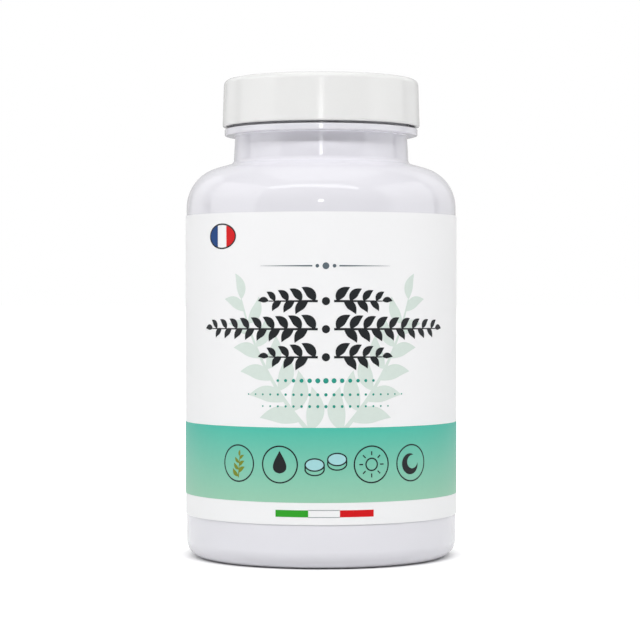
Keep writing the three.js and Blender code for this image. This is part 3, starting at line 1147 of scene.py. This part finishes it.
class TABLETBOTTLE_OT_set_stage(Operator):
    """Lay the pale floor and set the soft studio light and the camera"""

    bl_idname = "tablet_bottle.set_stage"
    bl_label = "Set stage"

    def execute(self, context):
        scene = context.scene
        scene.view_settings.view_transform = "Standard"
        self.lay_floor(scene)
        self.light(scene)
        lens = bpy.data.cameras.new("Camera")
        lens.lens, lens.sensor_width = CAMERA_LENS, CAMERA_SENSOR
        camera = bpy.data.objects.new("Camera", lens)
        camera.location = CAMERA_PLACE
        camera.rotation_euler.x = CAMERA_PITCH
        scene.collection.objects.link(camera)
        scene.camera = camera
        return {"FINISHED"}

    def lay_floor(self, scene):
        """A wide white floor."""
        mesh = bpy.data.meshes.new("Floor")
        square = ((-1, -1), (1, -1), (1, 1), (-1, 1))
        corners = [(x * FLOOR_REACH, y * FLOOR_REACH, 0) for x, y in square]
        mesh.from_pydata(corners, [], [(0, 1, 2, 3)])
        mesh.materials.append(white_floor())
        floor = bpy.data.objects.new("Floor", mesh)
        scene.collection.objects.link(floor)

    def light(self, scene):
        """A world that is brighter behind the bottle than in front, and soft boxes.

        The camera sees the world white. The two tubes only show in the gloss.
        """
        world = bpy.data.worlds.new("Studio")
        world.use_nodes = True
        tree = world.node_tree
        tree.nodes.clear()
        direction = add(tree, "ShaderNodeTexCoord", out="Generated")
        depth = add(tree, "ShaderNodeSeparateXYZ", {0: direction}, out="Y")
        level = add(
            tree,
            "ShaderNodeMapRange",
            {
                "Value": depth,
                "From Min": HORIZON_FRONT,
                "From Max": HORIZON_BACK,
                "To Min": WORLD_FRONT,
                "To Max": WORLD_BACK,
            },
        )
        seen = add(tree, "ShaderNodeLightPath", out="Is Camera Ray")
        strength = add(tree, "ShaderNodeMath", {0: level, 1: seen}, operation="MAXIMUM")
        back = add(tree, "ShaderNodeBackground", {"Color": (1, 1, 1, 1), "Strength": strength})
        add(tree, "ShaderNodeOutputWorld", {"Surface": back})
        scene.world = world
        for name, (width, height), place, aim, power, lights, shows in LIGHTS:
            lamp = bpy.data.lights.new(name, "AREA")
            lamp.shape, lamp.size, lamp.size_y, lamp.energy = "RECTANGLE", width, height, power
            box = bpy.data.objects.new(name, lamp)
            box.location = place
            box.rotation_euler = (Vector(aim) - Vector(place)).to_track_quat("-Z", "Y").to_euler()
            box.visible_diffuse, box.visible_glossy = lights, shows
            scene.collection.objects.link(box)


PIECES = (
    TABLETBOTTLE_OT_blow_bottle,
    TABLETBOTTLE_OT_mould_cap,
    TABLETBOTTLE_OT_punch_liner,
    TABLETBOTTLE_OT_cut_threads,
    TABLETBOTTLE_OT_wrap_label,
    TABLETBOTTLE_OT_print_label,
    TABLETBOTTLE_OT_fill_tablets,
    TABLETBOTTLE_OT_set_stage,
)


class TABLETBOTTLE_PT_panel(Panel):
    """Lists the steps that make the bottle, and its sizes"""

    bl_label = "Tablet Bottle"
    bl_space_type = "VIEW_3D"
    bl_region_type = "UI"
    bl_category = "Tablet Bottle"

    def draw(self, context):
        for step in PIECES:
            self.layout.operator(step.bl_idname)
        for group in ("bottle", "closure", "label", "tablets", "colours"):
            box = self.layout.box()
            values = getattr(context.scene.tablet_bottle, group)
            for name in values.__annotations__:
                box.prop(values, name)


CLASSES = (
    BottleSizes,
    ClosureSizes,
    LabelSizes,
    TabletSizes,
    Colours,
    TabletBottle,
    *PIECES,
    TABLETBOTTLE_PT_panel,
)


def register():
    for item in CLASSES:
        bpy.utils.register_class(item)
    bpy.types.Scene.tablet_bottle = PointerProperty(type=TabletBottle)


def unregister():
    del bpy.types.Scene.tablet_bottle
    for item in reversed(CLASSES):
        bpy.utils.unregister_class(item)


def main():
    """Makes every piece in order."""
    register()
    bpy.ops.tablet_bottle.blow_bottle()
    bpy.ops.tablet_bottle.mould_cap()
    bpy.ops.tablet_bottle.punch_liner()
    bpy.ops.tablet_bottle.cut_threads()
    bpy.ops.tablet_bottle.wrap_label()
    bpy.ops.tablet_bottle.print_label()
    bpy.ops.tablet_bottle.fill_tablets()
    bpy.ops.tablet_bottle.set_stage()


if __name__ == "__main__":
    main()
